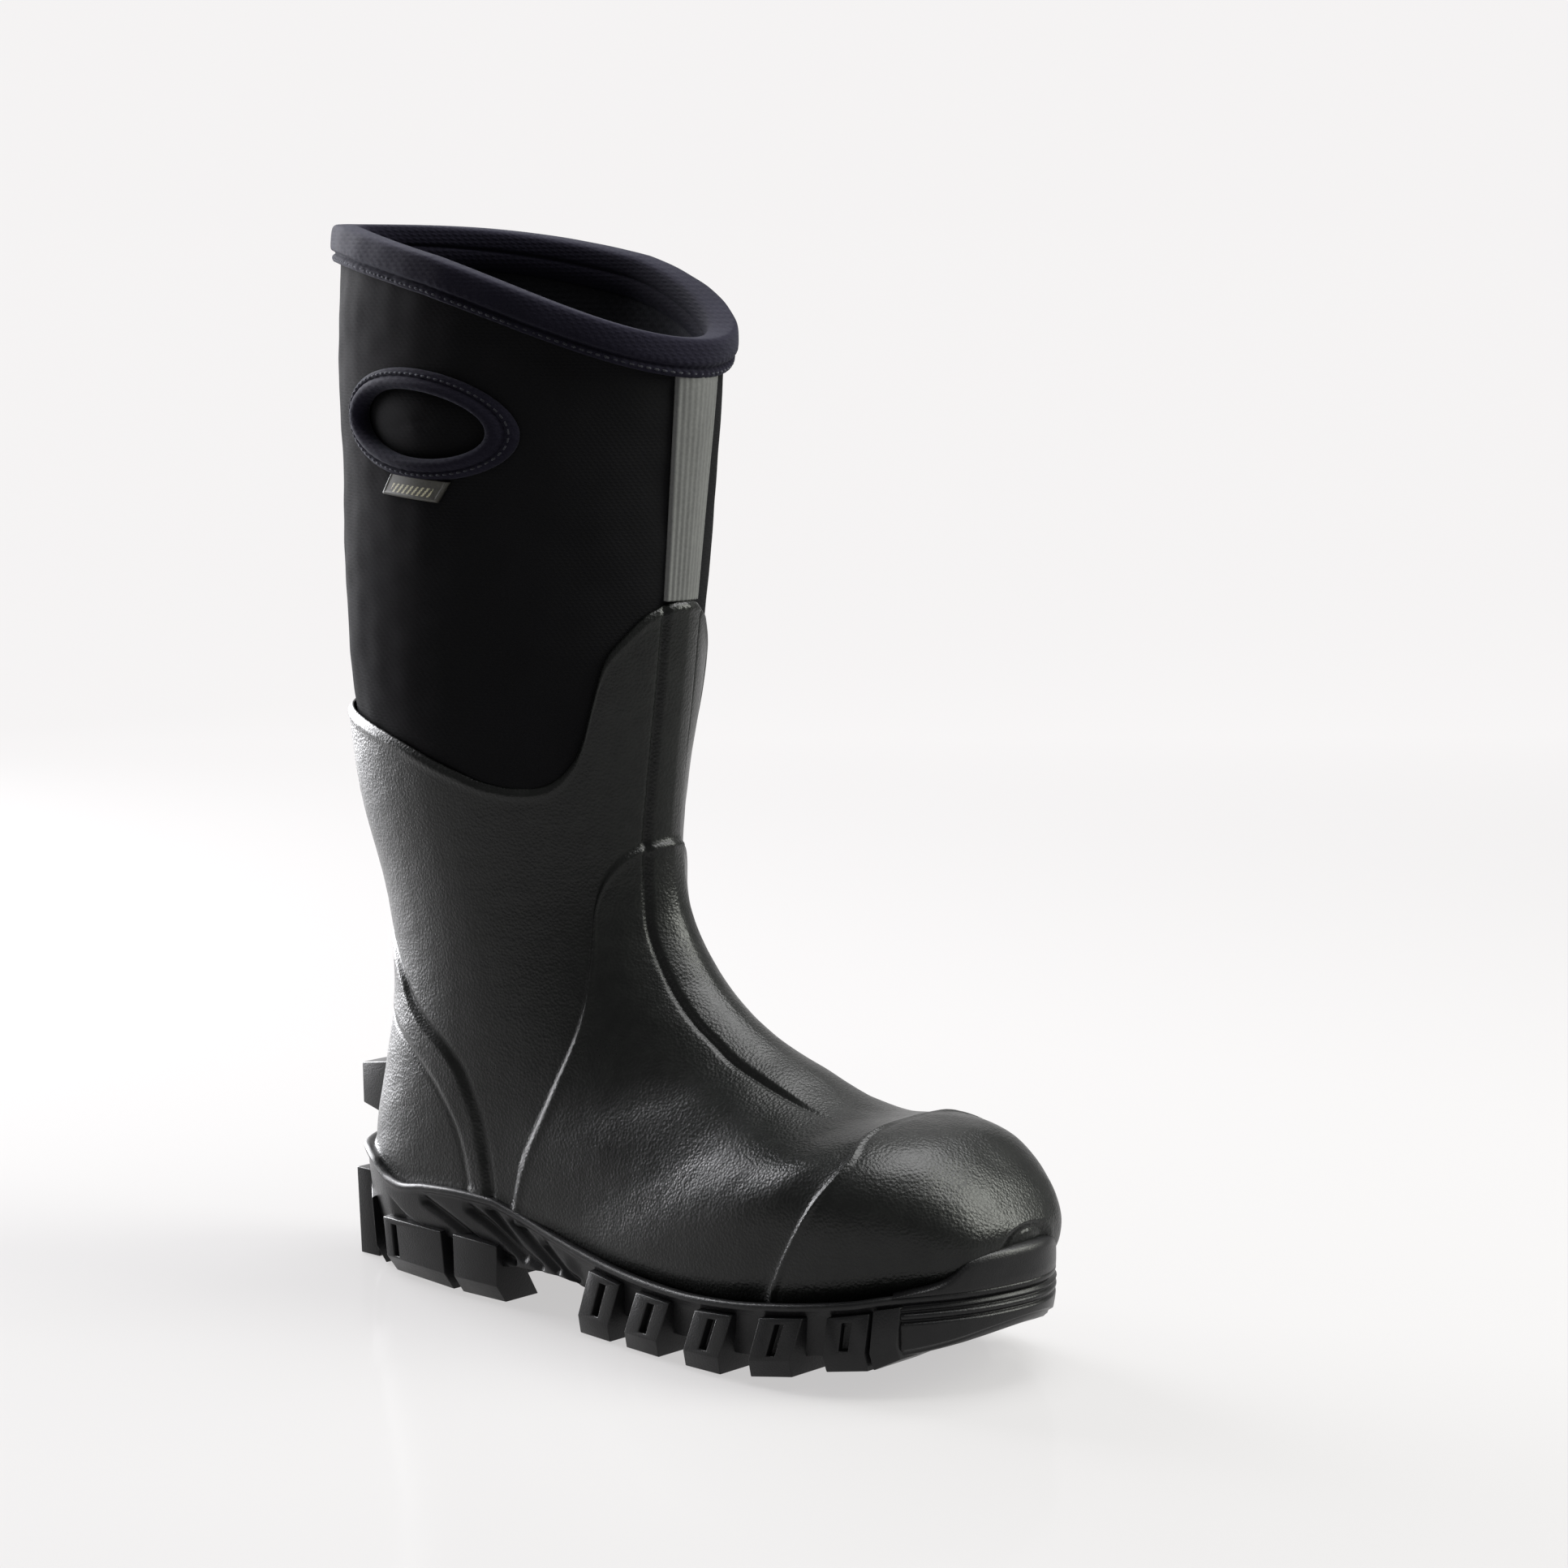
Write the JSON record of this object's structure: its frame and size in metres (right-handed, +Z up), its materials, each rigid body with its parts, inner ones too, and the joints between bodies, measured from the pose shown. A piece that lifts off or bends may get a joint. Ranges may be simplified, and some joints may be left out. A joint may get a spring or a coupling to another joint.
{
  "type": "safety work boot",
  "caption": "Tall slip-on safety boot with neoprene shaft, oval pull handles, moulded rubber foot and gaiter, internal steel toe cap and lugged sole.",
  "frame": {"origin": "on the ground plane under the middle of the boot's bounding box", "axes": "+X from heel to toe, +Z up the shaft, -Y the lateral (outer) side of this right boot"},
  "size_m": [0.3316, 0.124, 0.3991],
  "materials": {
    "tread_rubber": "semi-gloss moulded black rubber",
    "shell_rubber": "pebble-grained semi-gloss black rubber",
    "steel": "plain pressed steel",
    "midsole_foam": "matte dark grey foam rubber",
    "neoprene": "matte black knit-faced neoprene",
    "reinforcement_strip": "matte grey finely ribbed rubber",
    "lining_fabric": "matte black knitted lining",
    "insole_board": "matte fibre board",
    "footbed_foam": "matte dark grey foam",
    "footbed_fabric": "matte dark knitted cover",
    "binding_fabric": "matte blue-black knitted binding",
    "thread": "matte dark thread",
    "label": "satin dark olive rubber tab"
  },
  "bodies": {
    "boot": {"outsole": "tread_rubber", "toe_bumper": "tread_rubber", "kick_spur": "tread_rubber", "rubber_shell": "shell_rubber", "vamp_overlay": "shell_rubber", "toe_overlay": "shell_rubber", "shin_ridge": "shell_rubber", "instep_ridge": "shell_rubber", "heel_counter": "shell_rubber", "heel_band": "shell_rubber", "puncture_plate": "steel", "steel_shank": "steel", "steel_toe_cap": "steel", "midsole_cushion": "midsole_foam", "foot_bootie": "neoprene", "shaft_panel_lateral": "neoprene", "shaft_panel_medial": "neoprene", "handle_backing_lateral": "neoprene", "handle_backing_medial": "neoprene", "front_strip": "reinforcement_strip", "lining_sock": "lining_fabric", "insole_board": "insole_board", "collar_binding": "binding_fabric", "handle_ring_lateral": "binding_fabric", "handle_ring_medial": "binding_fabric", "collar_stitching": "thread", "handle_stitching_lateral": "thread", "handle_stitching_medial": "thread", "label_tab": "label"},
    "footbed": {"footbed_foam": "footbed_foam", "footbed_cover": "footbed_fabric"}
  },
  "joints": [
    {"name": "footbed_lift", "type": "hinge", "parent": "boot", "child": "footbed", "pos_m": [0.1306, 0, 0.038], "axis": [0, 1, 0], "range_deg": [0, 5]}
  ]
}
